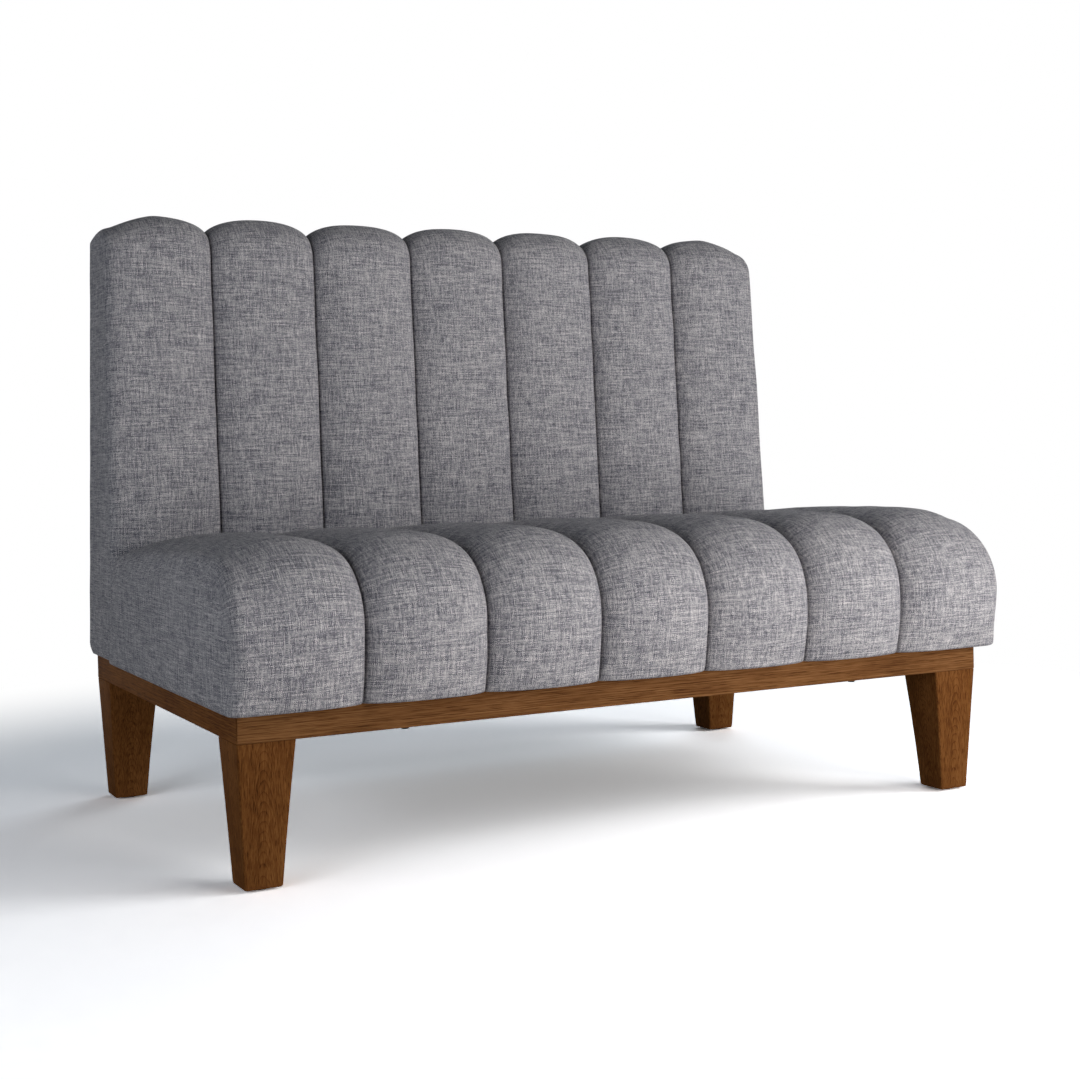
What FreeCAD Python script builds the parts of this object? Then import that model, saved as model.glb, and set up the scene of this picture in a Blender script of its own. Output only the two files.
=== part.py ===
import FreeCAD, Part
import math
import os

# Channel-tufted banquette bench: a hardwood base on four tapered legs carries a boxed seat and a
# wedge-shaped back frame, both covered with foam and fabric sewn into upright channels.
# Millimetres, +Z up, the sitter faces -Y, origin on the floor under the middle of the bench.

V = FreeCAD.Vector

# Hardwood base frame
base_width = 1180.0
base_depth = 710.0
rail_height = 40.0
rail_thickness = 25.0
rail_corner_radius = 2.0
rail_edge_radius = 1.5
cross_rail_thickness = 32.0
housing_depth = 8.0

# Tapered legs
leg_length = 183.0
leg_top_side = 71.0
leg_foot_side = 50.0
leg_edge_radius = 2.5

# Nylon glide tacked under each foot
glide_radius = 15.0
glide_thickness = 3.0

# Corner blocks and the hanger bolts that hold the legs
block_reach = 110.0
bolt_radius = 5.0
bolt_inset = 12.0
bolt_depth_in_leg = 60.0
nut_across_flats = 17.0
nut_height = 8.0
bolt_tip_proud = 5.0

# Plywood and pine box under the seat
box_rail_thickness = 25.0
box_rail_height = 80.0
rebate_depth = 12.0
deck_thickness = 12.0
vent_radius = 30.0
vent_count = 3

# Seat upholstery
channel_count = 7
channels_side_overhang = 8.5
seat_front_overhang = 52.0
seat_core_thickness = 59.0
seat_core_bevel = 34.0
seat_seam_pad = 27.0
seat_crown = 30.0
seat_fall = 27.0
lip_pad = 18.0
lip_crown = 22.0
end_front_drop = 6.0
end_top_drop = 15.0
seat_end_pad = 27.5
seat_end_front_inset = 32.0
seat_end_top_inset = 42.0
seat_end_bottom_rise = 36.0
seat_back_clearance = 0.3

# Extra length of a channel that is trimmed off where it meets its neighbours
trim_allowance = 12.0

# Back frame
back_rake = 0.063
rear_rake = 0.031
back_cap_height = 850.0
back_cap_setback = 73.5
back_core_reach = 20.0
back_core_bevel = 14.0
panel_thickness = 9.0
rib_thickness = 25.0
top_rail_foot = 50.0
middle_rail_height = 60.0
middle_rail_level = 560.0
frame_rail_thickness = 25.0
sill_height = 60.0
cover_thickness = 5.0

# Back upholstery
back_seam_pad = 18.0
back_crown = 24.0
back_rear_crown = 8.0
back_end_front_drop = 2.0
back_end_top_drop = 30.0
back_end_pad = 18.0
back_end_front_inset = 14.0
back_end_top_inset = 42.0
back_end_bottom_rise = 10.0
back_end_lean = 0.0107

# Fasteners
screw_radius = 2.5
screw_head_radius = 5.0
screw_head_height = 3.0
base_screw_length = 85.0
carriage_bolt_radius = 4.0
carriage_head_radius = 9.0
carriage_head_height = 3.5
carriage_tip_proud = 4.0
small_nut_across_flats = 13.0
small_nut_height = 6.5

# Dust cloth tacked under the base
cloth_thickness = 0.8
cloth_margin = 18.5
cloth_leg_gap = 4.0

# Shape of a channel across its width: stations from seam to seam, and how full it is at each
station_shares = (-1.0, -0.9, -0.58, 0.0, 0.58, 0.9, 1.0)
end_station_shares = (0.6, 1.0)
crown_flatness_share = 2.2
crown_fullness_share = 0.65
end_pad_station_shares = (0.0, 0.5, 0.85, 1.0)
end_pad_inset_shares = (0.0, 0.2, 0.55, 1.0)
roll_steps = 6
base_screw_shares = (-0.65, 0.65)
back_bolt_shares = (-0.65, 0.65)
lower_bolt_share = 0.5
inner_rib_share = 0.334

# Levels and planes worked out from the sizes above
leg_top = glide_thickness + leg_length
base_top = leg_top + rail_height
box_top = base_top + box_rail_height
roll_z = box_top + deck_thickness
half_depth = (base_depth + seat_front_overhang) / 2
base_front = seat_front_overhang - half_depth
base_rear = half_depth
seat_front_reach = seat_core_thickness + seat_seam_pad + seat_crown
roll_y = base_front - seat_front_overhang + seat_front_reach
box_front = roll_y - seat_core_thickness
channels_width = base_width + 2 * channels_side_overhang
channel_pitch = channels_width / channel_count
end_channel_x = (channel_count - 1) * channel_pitch / 2
box_half = channels_width / 2 - back_end_pad
inner_rib_spread = inner_rib_share * 2 * box_half
back_angle = math.atan(back_rake)
cap_y = base_rear - back_cap_setback
cap_z = back_cap_height
back_seam_reach = back_core_reach + back_seam_pad
back_crest_reach = back_seam_reach + back_crown


def back_plane(reach, z):
    """Y of the raked plane that lies reach in front of the back's cap centre, at height z."""
    return cap_y - (reach - math.sin(back_angle) * (z - cap_z)) / math.cos(back_angle)


def rear_plane(z):
    """Y of the outside back's rear face at height z."""
    return base_rear - rear_rake * (z - base_top)


def seat_rear(z):
    """Y of the seat upholstery's rear face, which lies just clear of the back's channels."""
    return back_plane(back_crest_reach + seat_back_clearance, z)


box_rear = seat_rear(base_top)


def box(x0, x1, y0, y1, z0, z1):
    """Straight block between two corners."""
    return Part.makeBox(x1 - x0, y1 - y0, z1 - z0, V(x0, y0, z0))


def prism_x(points, x0, x1):
    """Outline in Y and Z, drawn from x0 to x1."""
    loop = [V(x0, y, z) for y, z in points]
    return Part.Face(Part.makePolygon(loop + loop[:1])).extrude(V(x1 - x0, 0, 0))


def prism_z(points, z0, z1):
    """Outline in X and Y, drawn from z0 to z1."""
    loop = [V(x, y, z0) for x, y in points]
    return Part.Face(Part.makePolygon(loop + loop[:1])).extrude(V(0, 0, z1 - z0))


def mirror_x(shape):
    """The same piece on the other side of the bench."""
    return shape.mirror(V(0, 0, 0), V(1, 0, 0))


def arc_middle(start, heading, end):
    """Middle of the arc that leaves start along heading and comes to end."""
    along = V(heading[0], heading[1], 0).normalize()
    normal = V(-along.y, along.x, 0)
    chord = V(end[0] - start[0], end[1] - start[1], 0)
    radius = chord.dot(chord) / (2 * chord.dot(normal))
    centre = V(start[0], start[1], 0) + normal * radius
    outward = (V(start[0], start[1], 0) - centre) + (V(end[0], end[1], 0) - centre)
    middle = centre + outward.normalize() * abs(radius)
    return middle.x, middle.y


def rolled_edge(centre, first_reach, last_reach, tilt=0.0):
    """Points round a rolled edge in short chords, from its face, tilted back, to its level top."""
    points = []
    for step in range(roll_steps + 1):
        share = step / roll_steps
        angle = math.pi - tilt - share * (math.pi / 2 - tilt)
        reach = first_reach + share * (last_reach - first_reach)
        points.append((centre[0] + reach * math.cos(angle), centre[1] + reach * math.sin(angle)))
    return points


def outline(x, start, steps, lean=0.0):
    """Closed section at x. A step is an end point, or an arc's middle and end point."""

    def place(point):
        return V(x - lean * (point[1] - base_top), point[0], point[1])

    edges = []
    here = start
    for step in steps:
        if isinstance(step[0], tuple):
            middle, end = step
            edges.append(Part.Arc(place(here), place(middle), place(end)).toShape())
        else:
            end = step
            edges.append(Part.makeLine(place(here), place(end)))
        here = end
    return Part.Wire(edges)


def loft(wires):
    """Closed solid through the sections, in straight strips from each to the next."""
    return Part.makeLoft(wires, True, True)


def crown_share(share):
    """How full a channel is at a share of its half width from the middle."""
    return (1 - abs(share) ** crown_flatness_share) ** crown_fullness_share


def crowned_sections(section, middle_x, crowns, stations):
    """Sections of a channel at the stations: each crown is as full there as the channel is."""
    sections = []
    for share in stations:
        fullness = crown_share(share)
        x = middle_x + share * channel_pitch / 2
        sections.append(section(x, *[crown * fullness for crown in crowns]))
    return sections


def inner_stations():
    """Stations of an end channel's inner half, from its seam to its middle."""
    return [share for share in station_shares if share <= 0]


def seat_outer_steps(front, top, lip_y, bottom_z):
    """Seat's outer skin from its bottom lip over the front roll to its rear top edge."""
    roll = rolled_edge((roll_y, roll_z), front, top)
    rear_z = roll_z + top - seat_fall
    rear = (seat_rear(rear_z), rear_z)
    bulge = arc_middle(roll[0], (0.0, -1.0), (lip_y, bottom_z))
    ridge = arc_middle(roll[-1], (1.0, 0.0), rear)
    return [(bulge, roll[0])] + roll[1:] + [(ridge, rear)]


def seat_core_points():
    """Core's top from its rear edge to its bevelled front edge."""
    top = roll_z + seat_core_thickness
    rear_z = top - seat_fall
    return [(seat_rear(rear_z), rear_z), (box_front + seat_core_bevel, top), (box_front, top - seat_core_bevel)]


def seat_space():
    """Room that a seat channel may fill: over the core and the box front, ahead of the back."""
    front = box_front - 2 * seat_front_reach
    top = roll_z + 2 * seat_front_reach
    points = [(box_front, base_top), (front, base_top), (front, top), (seat_rear(top), top)]
    return prism_x(points + seat_core_points(), -channels_width / 2, channels_width / 2)


def seat_section(x, front_crown, top_crown, lip_growth):
    """Section of a seat channel before it is trimmed to its space."""
    front = seat_core_thickness + seat_seam_pad + front_crown
    top = seat_core_thickness + seat_seam_pad + top_crown
    lip_y = box_front - lip_pad - lip_growth
    bottom = base_top - trim_allowance
    outer = seat_outer_steps(front, top, lip_y, base_top)
    rear = outer[-1][1]
    behind = rear[0] + trim_allowance
    steps = [(lip_y, base_top)] + outer + [(behind, rear[1]), (behind, bottom), (lip_y, bottom)]
    return outline(x, (lip_y, bottom), steps)


def seat_channel(middle_x):
    """Sewn channel between two seams, crowned over the top and down the front."""
    crowns = (seat_crown, seat_crown, lip_crown)
    return loft(crowned_sections(seat_section, middle_x, crowns, station_shares)).common(seat_space())


def seat_end_channel():
    """Right-hand end channel: its outer half falls softly towards the side."""
    crowns = (seat_crown, seat_crown, lip_crown)
    sections = crowned_sections(seat_section, end_channel_x, crowns, inner_stations())
    for share in end_station_shares:
        x = end_channel_x + share * (box_half - end_channel_x)
        fall = share ** 2
        front_crown = seat_crown - end_front_drop * fall
        top_crown = seat_crown - end_top_drop * fall
        sections.append(seat_section(x, front_crown, top_crown, lip_crown))
    return loft(sections).common(seat_space())


def seat_end_cushion():
    """Right-hand side pad of the seat, rounded where it turns to the front, top and bottom."""
    front = seat_front_reach - end_front_drop
    top = seat_front_reach - end_top_drop
    lip_y = box_front - lip_pad - lip_crown
    sections = []
    for station, inset in zip(end_pad_station_shares, end_pad_inset_shares):
        x = box_half + station * seat_end_pad
        bottom = base_top + inset * seat_end_bottom_rise
        heel = (seat_rear(bottom), bottom)
        lip = (lip_y + inset * lip_pad / 2, bottom)
        outer = seat_outer_steps(
            front - inset * seat_end_front_inset, top - inset * seat_end_top_inset, lip[0], bottom
        )
        sections.append(outline(x, heel, [lip] + outer + [heel]))
    return loft(sections)


def seat_slab():
    """Firm foam core on the deck, bevelled along its front edge."""
    points = seat_core_points() + [(box_front, roll_z), (seat_rear(roll_z), roll_z)]
    return prism_x(points, -box_half, box_half)


def back_core_points(inset):
    """Top of the back's frame, from inset inside its rear face to the foot of its front bevel."""
    top = cap_z + back_core_reach
    brow = back_plane(back_core_reach, top) + back_core_bevel
    bevel_foot = top - back_core_bevel
    return [(rear_plane(top) - inset, top), (brow, top), (back_plane(back_core_reach, bevel_foot), bevel_foot)]


def back_outer_steps(front, top, rear_reach):
    """Back's outer skin from its bottom up the raked face and over the cap to the rear."""
    cap = rolled_edge((cap_y, cap_z), front, top, back_angle)
    rear_z = cap_z + rear_reach
    rear = (rear_plane(rear_z), rear_z)
    return cap + [arc_middle(cap[-1], (1.0, 0.0), rear), rear]


def back_space():
    """Room that a back channel may fill: in front of and over the back's frame."""
    front = box_rear - 2 * back_crest_reach
    top = cap_z + 2 * back_crest_reach
    points = [(back_plane(back_core_reach, roll_z), roll_z), (front, roll_z), (front, top), (rear_plane(top), top)]
    return prism_x(points + back_core_points(0), -channels_width / 2, channels_width / 2)


def back_section(x, front_crown, top_crown, rear_crown):
    """Section of a back channel before it is trimmed to its space."""
    front = back_seam_reach + front_crown
    top = back_seam_reach + top_crown
    outer = back_outer_steps(front, top, back_core_reach + back_seam_pad / 2 + rear_crown)
    bottom = roll_z - trim_allowance
    start = (back_plane(front, bottom), bottom)
    behind = outer[-1][0] + trim_allowance
    return outline(x, start, outer + [(behind, outer[-1][1]), (behind, bottom), start])


def back_channel(middle_x):
    """Sewn channel between two seams, crowned on the face and over the top."""
    crowns = (back_crown, back_crown, back_rear_crown)
    return loft(crowned_sections(back_section, middle_x, crowns, station_shares)).common(back_space())


def back_end_channel():
    """Right-hand end channel: its outer half falls softly towards the side."""
    crowns = (back_crown, back_crown, back_rear_crown)
    sections = crowned_sections(back_section, end_channel_x, crowns, inner_stations())
    for share in end_station_shares:
        x = end_channel_x + share * (box_half - end_channel_x)
        fall = share ** 3
        front_crown = back_crown - back_end_front_drop * fall
        top_crown = back_crown - back_end_top_drop * fall
        sections.append(back_section(x, front_crown, top_crown, back_rear_crown * (1 - fall)))
    return loft(sections).common(back_space())


def back_end_cushion():
    """Right-hand side pad of the back, from the base to the cap, rounded at its front and top."""
    front = back_crest_reach - back_end_front_drop
    top = back_crest_reach - back_end_top_drop
    rear_reach = back_core_reach + back_seam_pad / 2
    sections = []
    for station, inset in zip(end_pad_station_shares, end_pad_inset_shares):
        x = box_half + station * back_end_pad
        bottom = base_top + inset * back_end_bottom_rise
        reach = front - inset * back_end_front_inset
        heel = (rear_plane(bottom), bottom)
        toe = (back_plane(reach, bottom), bottom)
        fall = inset * back_end_top_inset
        outer = back_outer_steps(reach, top - fall, rear_reach - fall)
        sections.append(outline(x, heel, [toe] + outer + [heel], back_end_lean * station))
    return loft(sections)


def ring_slice(corners):
    """One mitred rail: the part of the base ring that lies over the plan outline."""
    ring = box(-base_width / 2, base_width / 2, base_front, base_rear, leg_top, base_top)
    corners_up = [e for e in ring.Edges if abs(e.Vertexes[0].Z - e.Vertexes[1].Z) > rail_height / 2]
    ring = ring.makeFillet(rail_corner_radius, corners_up)
    lower = [e for e in ring.Edges if e.BoundBox.ZMax < leg_top + rail_edge_radius]
    ring = ring.makeFillet(rail_edge_radius, lower)
    inner_x = base_width / 2 - rail_thickness
    inner_front = base_front + rail_thickness
    inner_rear = base_rear - rail_thickness
    ring = ring.cut(box(-inner_x, inner_x, inner_front, inner_rear, leg_top, base_top))
    return ring.common(prism_z(corners, leg_top, base_top))


def base_rails():
    """Four mitred rails, keyed by where they lie."""
    hx = base_width / 2
    ix = hx - rail_thickness
    inner_front = base_front + rail_thickness
    inner_rear = base_rear - rail_thickness
    right = [(hx, base_front), (hx, base_rear), (ix, inner_rear), (ix, inner_front)]
    return {
        "front": ring_slice([(-hx, base_front), (hx, base_front), (ix, inner_front), (-ix, inner_front)]),
        "rear": ring_slice([(-hx, base_rear), (-ix, inner_rear), (ix, inner_rear), (hx, base_rear)]),
        "right": ring_slice(right),
        "left": mirror_x(ring_slice(right)),
    }


def cross_rail():
    """Stretcher from front to rear rail, housed into both."""
    half = cross_rail_thickness / 2
    front = base_front + rail_thickness - housing_depth
    rear = base_rear - rail_thickness + housing_depth
    return box(-half, half, front, rear, leg_top, base_top)


def frustum(low_side, high_side, low_z, high_z):
    """Square block on the Z axis whose four faces lean alike."""

    def corners(side, z):
        h = side / 2
        return [V(-h, -h, z), V(h, -h, z), V(h, h, z), V(-h, h, z)]

    low = corners(low_side, low_z)
    high = corners(high_side, high_z)
    loops = [low[::-1], high]
    for k in range(4):
        n = (k + 1) % 4
        loops.append([low[k], low[n], high[n], high[k]])
    return Part.Solid(Part.Shell([Part.Face(Part.makePolygon(loop + loop[:1])) for loop in loops]))


def leg_places():
    """Centre of each leg in plan, keyed by corner."""
    x = base_width / 2 - leg_top_side / 2
    y_front = base_front + leg_top_side / 2
    y_rear = base_rear - leg_top_side / 2
    return {
        "front_left": (-x, y_front),
        "front_right": (x, y_front),
        "rear_left": (-x, y_rear),
        "rear_right": (x, y_rear),
    }


def bolt_place(place):
    """Hanger bolt's centre in plan: nearer the middle of the bench than its leg's centre."""
    return place[0] - math.copysign(bolt_inset, place[0]), place[1] - math.copysign(bolt_inset, place[1])


def leg(place):
    """Square leg, tapered alike on all four faces and bored for its hanger bolt."""
    body = frustum(leg_foot_side, leg_top_side, glide_thickness, leg_top)
    long_edges = [e for e in body.Edges if e.BoundBox.ZLength > leg_length / 2]
    body = body.makeFillet(leg_edge_radius, long_edges)
    bolt_x, bolt_y = bolt_place(place)
    bore = Part.makeCylinder(bolt_radius, bolt_depth_in_leg, V(bolt_x, bolt_y, leg_top - bolt_depth_in_leg))
    return body.translate(V(place[0], place[1], 0)).cut(bore)


def glide(place):
    """Nylon disc under the foot."""
    return Part.makeCylinder(glide_radius, glide_thickness, V(place[0], place[1], 0))


def corner_block(place):
    """Bevelled block in the corner of the base, over the leg."""
    sx = 1 if place[0] > 0 else -1
    sy = 1 if place[1] > 0 else -1
    corner_x = sx * (base_width / 2 - rail_thickness)
    corner_y = (base_rear - rail_thickness) if sy > 0 else (base_front + rail_thickness)
    heel = leg_top_side - rail_thickness
    points = [
        (corner_x, corner_y),
        (corner_x - sx * block_reach, corner_y),
        (corner_x - sx * block_reach, corner_y - sy * heel / 2),
        (corner_x - sx * heel / 2, corner_y - sy * block_reach),
        (corner_x, corner_y - sy * block_reach),
    ]
    bolt_x, bolt_y = bolt_place(place)
    bore = Part.makeCylinder(bolt_radius, rail_height, V(bolt_x, bolt_y, leg_top))
    return prism_z(points, leg_top, base_top).cut(bore)


def hex_nut(across_flats, height, bore_radius):
    """Hexagon nut on the Z axis, bored right through."""
    corner = across_flats / math.sqrt(3)
    points = [(corner * math.cos(k * math.pi / 3), corner * math.sin(k * math.pi / 3)) for k in range(6)]
    return prism_z(points, 0, height).cut(Part.makeCylinder(bore_radius, height))


def moved(shape, x, y, z):
    """The shape carried to a place."""
    return shape.translate(V(x, y, z))


def headed_pin(head_radius, head_height, shank_radius, shank_length):
    """Screw or bolt along +Z: its shank starts at the origin and its head lies below."""
    head = Part.makeCylinder(head_radius, head_height, V(0, 0, -head_height))
    return Part.makeCylinder(shank_radius, shank_length).fuse(head).removeSplitter()


def aimed(shape, x, y, z, direction):
    """A shape made along +Z, turned to direction and carried to a place."""
    turn = FreeCAD.Rotation(V(0, 0, 1), V(*direction))
    shape.Placement = FreeCAD.Placement(V(x, y, z), turn)
    return shape


def base_screw_places():
    """Plan places of the screws that rise through the base rails into the seat box and the back sill."""
    half = box_half - box_rail_thickness
    front_y = base_front + rail_thickness / 2
    rear_y = base_rear - rail_thickness / 2
    return [(share * half, front_y) for share in base_screw_shares] + [
        (share * half, rear_y) for share in base_screw_shares
    ]


def back_bolt_places():
    """Start of the carriage bolts that join the seat box to the back's bottom rail."""
    z = base_top + lower_bolt_share * box_rail_height
    y = box_rear - box_rail_thickness
    return [(share * (box_half - 2 * rib_thickness), y, z) for share in back_bolt_shares]


def seat_box_rail(front):
    """Front or rear rail of the seat box, rebated at both ends for the side rails."""
    y0 = box_front if front else box_rear - box_rail_thickness
    rail = box(-box_half, box_half, y0, y0 + box_rail_thickness, base_top, box_top)
    cut_y = y0 + box_rail_thickness - rebate_depth if front else y0
    inner = box_half - box_rail_thickness
    for x0, x1 in ((-box_half, -inner), (inner, box_half)):
        rail = rail.cut(box(x0, x1, cut_y, cut_y + rebate_depth, base_top, box_top))
    return rail


def seat_box_side():
    """Right-hand side rail of the seat box, seated in the rebates."""
    inner = box_half - box_rail_thickness
    front = box_front + box_rail_thickness - rebate_depth
    rear = box_rear - box_rail_thickness + rebate_depth
    return box(inner, box_half, front, rear, base_top, box_top)


def seat_box_cross():
    """Right-hand cross rail of the seat box, housed into the front and rear rails."""
    x = inner_rib_spread / 2
    half = box_rail_thickness / 2
    front = box_front + box_rail_thickness - housing_depth
    rear = box_rear - box_rail_thickness + housing_depth
    return box(x - half, x + half, front, rear, base_top, box_top)


def seat_deck():
    """Plywood deck with a vent hole between each pair of rails."""
    deck = box(-box_half, box_half, box_front, box_rear, box_top, roll_z)
    y = (box_front + box_rear) / 2
    for k in range(vent_count):
        x = (k - (vent_count - 1) / 2) * 2 * box_half / vent_count
        deck = deck.cut(Part.makeCylinder(vent_radius, deck_thickness, V(x, y, box_top)))
    return deck


def raked_bar(level, height, near, thickness):
    """Cross bar along X behind the raked plane at reach near, from level up by height."""
    far = near - thickness
    points = [
        (back_plane(near, level), level),
        (back_plane(far, level), level),
        (back_plane(far, level + height), level + height),
        (back_plane(near, level + height), level + height),
    ]
    return prism_x(points, -box_half, box_half)


def back_bottom_rail():
    """Bottom rail of the back, face to face with the seat box."""
    return box(-box_half, box_half, box_rear, box_rear + frame_rail_thickness, base_top, roll_z)


def back_sill():
    """Rear sill that the ribs stand over and the outside back is fixed to."""
    front = base_rear - cover_thickness - frame_rail_thickness - rear_rake * sill_height
    points = [
        (front, base_top),
        (rear_plane(base_top) - cover_thickness, base_top),
        (rear_plane(base_top + sill_height) - cover_thickness, base_top + sill_height),
        (front, base_top + sill_height),
    ]
    return prism_x(points, -box_half, box_half)


def back_rib(x0, cuts):
    """Wedge-shaped upright cut from thick plywood, notched for the rails that cross it."""
    top = cap_z - top_rail_foot
    face = back_core_reach - panel_thickness
    foot_front = box_rear + frame_rail_thickness
    points = [
        (foot_front, base_top),
        (foot_front, roll_z),
        (back_plane(face, roll_z), roll_z),
        (back_plane(face, top), top),
        (rear_plane(top) - cover_thickness, top),
        (rear_plane(base_top) - cover_thickness, base_top),
    ]
    rib = prism_x(points, x0, x0 + rib_thickness)
    for cut in cuts:
        rib = rib.cut(cut)
    return rib


def back_top_rail():
    """Rail along the top of the back, its front edge bevelled under the padding."""
    foot = cap_z - top_rail_foot
    front_foot = (back_plane(back_core_reach, foot), foot)
    rear_foot = (rear_plane(foot) - cover_thickness, foot)
    return prism_x(back_core_points(cover_thickness) + [front_foot, rear_foot], -box_half, box_half)


def back_panel():
    """Plywood face of the back, behind the channels."""
    height = cap_z - top_rail_foot - roll_z
    return raked_bar(roll_z, height, back_core_reach, panel_thickness)


def outside_back():
    """Fabric-covered board that closes the rear of the back."""
    top = cap_z + back_core_reach
    points = [
        (rear_plane(base_top) - cover_thickness, base_top),
        (rear_plane(base_top), base_top),
        (rear_plane(top), top),
        (rear_plane(top) - cover_thickness, top),
    ]
    return prism_x(points, -box_half, box_half)


def dust_cloth():
    """Thin cloth under the base, notched round the legs."""
    hx = base_width / 2 - cloth_margin
    front = base_front + cloth_margin
    rear = base_rear - cloth_margin
    notch = leg_top_side + cloth_leg_gap
    bottom = leg_top - cloth_thickness
    cloth = box(-hx, hx, front, rear, bottom, leg_top)
    for x, y in leg_places().values():
        cloth = cloth.cut(box(x - notch / 2, x + notch / 2, y - notch / 2, y + notch / 2, bottom, leg_top))
    outer = base_width / 2 - leg_top_side / 2
    for x in (-outer, outer):
        for y in (front, rear):
            side = box(x - notch / 2, x + notch / 2, y - notch / 2, y + notch / 2, bottom, leg_top)
            cloth = cloth.cut(side)
    return cloth


def build():
    """Every sub-part, keyed by its name."""
    nodes = {}
    places = leg_places()

    for name, rail in base_rails().items():
        nodes["base_rail_" + name] = rail
    nodes["base_cross_rail"] = cross_rail()
    for name in ("base_rail_front", "base_rail_rear"):
        nodes[name] = nodes[name].cut(nodes["base_cross_rail"])
    for corner, place in places.items():
        nodes["leg_" + corner] = leg(place)
        nodes["corner_block_" + corner] = corner_block(place)
    nodes["foot_glides"] = Part.makeCompound([glide(p) for p in places.values()])

    bolt_length = bolt_depth_in_leg + rail_height + nut_height + bolt_tip_proud
    bolt_foot = leg_top - bolt_depth_in_leg
    bolts_at = [bolt_place(place) for place in places.values()]
    nodes["hanger_bolts"] = Part.makeCompound(
        [Part.makeCylinder(bolt_radius, bolt_length, V(x, y, bolt_foot)) for x, y in bolts_at]
    )
    nodes["hanger_nuts"] = Part.makeCompound(
        [moved(hex_nut(nut_across_flats, nut_height, bolt_radius), x, y, base_top) for x, y in bolts_at]
    )

    nodes["seat_box_front"] = seat_box_rail(True)
    nodes["seat_box_rear"] = seat_box_rail(False)
    nodes["seat_box_right"] = seat_box_side()
    nodes["seat_box_left"] = mirror_x(seat_box_side())
    nodes["seat_box_cross_right"] = seat_box_cross()
    nodes["seat_box_cross_left"] = mirror_x(seat_box_cross())
    for name in ("seat_box_front", "seat_box_rear"):
        for cross in ("seat_box_cross_right", "seat_box_cross_left"):
            nodes[name] = nodes[name].cut(nodes[cross])
    nodes["seat_deck"] = seat_deck()
    nodes["seat_foam_core"] = seat_slab()

    middle = (channel_count + 1) / 2
    for k in range(2, channel_count):
        nodes["seat_channel_%d" % k] = seat_channel((k - middle) * channel_pitch)
        nodes["back_channel_%d" % k] = back_channel((k - middle) * channel_pitch)
    nodes["seat_channel_%d" % channel_count] = seat_end_channel()
    nodes["seat_channel_1"] = mirror_x(seat_end_channel())
    nodes["back_channel_%d" % channel_count] = back_end_channel()
    nodes["back_channel_1"] = mirror_x(back_end_channel())
    nodes["seat_side_pad_right"] = seat_end_cushion()
    nodes["seat_side_pad_left"] = mirror_x(seat_end_cushion())
    nodes["back_side_pad_right"] = back_end_cushion()
    nodes["back_side_pad_left"] = mirror_x(back_end_cushion())

    nodes["back_bottom_rail"] = back_bottom_rail()
    face = back_core_reach - panel_thickness
    nodes["back_middle_rail"] = raked_bar(middle_rail_level, middle_rail_height, face, frame_rail_thickness)
    nodes["back_top_rail"] = back_top_rail()
    nodes["back_sill"] = back_sill()
    cuts = [nodes["back_middle_rail"], nodes["back_sill"]]
    inner_x = (inner_rib_spread - rib_thickness) / 2
    nodes["back_rib_outer_right"] = back_rib(box_half - rib_thickness, cuts)
    nodes["back_rib_outer_left"] = mirror_x(nodes["back_rib_outer_right"])
    nodes["back_rib_inner_right"] = back_rib(inner_x, cuts)
    nodes["back_rib_inner_left"] = mirror_x(nodes["back_rib_inner_right"])
    nodes["back_panel"] = back_panel()
    nodes["outside_back_panel"] = outside_back()
    nodes["dust_cloth"] = dust_cloth()
    return nodes


def fit_fasteners(nodes):
    """Screws and bolts, with their holes cut in what they pass through."""
    base_screws = [
        moved(headed_pin(screw_head_radius, screw_head_height, screw_radius, base_screw_length), x, y, leg_top)
        for x, y in base_screw_places()
    ]
    nodes["base_screws"] = Part.makeCompound(base_screws)
    for name in ("base_rail_front", "base_rail_rear", "seat_box_front", "back_sill"):
        nodes[name] = nodes[name].cut(nodes["base_screws"])

    grip = box_rail_thickness + frame_rail_thickness
    shank = grip + small_nut_height + carriage_tip_proud
    bolts, nuts = [], []
    for x, y, z in back_bolt_places():
        bolt = headed_pin(carriage_head_radius, carriage_head_height, carriage_bolt_radius, shank)
        bolts.append(aimed(bolt, x, y, z, (0, 1, 0)))
        nut = hex_nut(small_nut_across_flats, small_nut_height, carriage_bolt_radius)
        nuts.append(aimed(nut, x, y + grip, z, (0, 1, 0)))
    nodes["back_bolts"] = Part.makeCompound(bolts)
    nodes["back_nuts"] = Part.makeCompound(nuts)
    for name in ("seat_box_rear", "back_bottom_rail"):
        nodes[name] = nodes[name].cut(nodes["back_bolts"])


def main():
    """Builds the bench and writes one file per sub-part."""
    os.makedirs("parts", exist_ok=True)
    nodes = build()
    fit_fasteners(nodes)
    for name, shape in nodes.items():
        shape.exportStep("parts/%s.step" % name)
        print("%-24s solids %d volume %.0f" % (name, len(shape.Solids), shape.Volume))
    print(len(nodes), "nodes")


main()
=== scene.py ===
import math
from collections import namedtuple

import bmesh
import bpy
import numpy as np
from mathutils import Matrix, Vector


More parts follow.
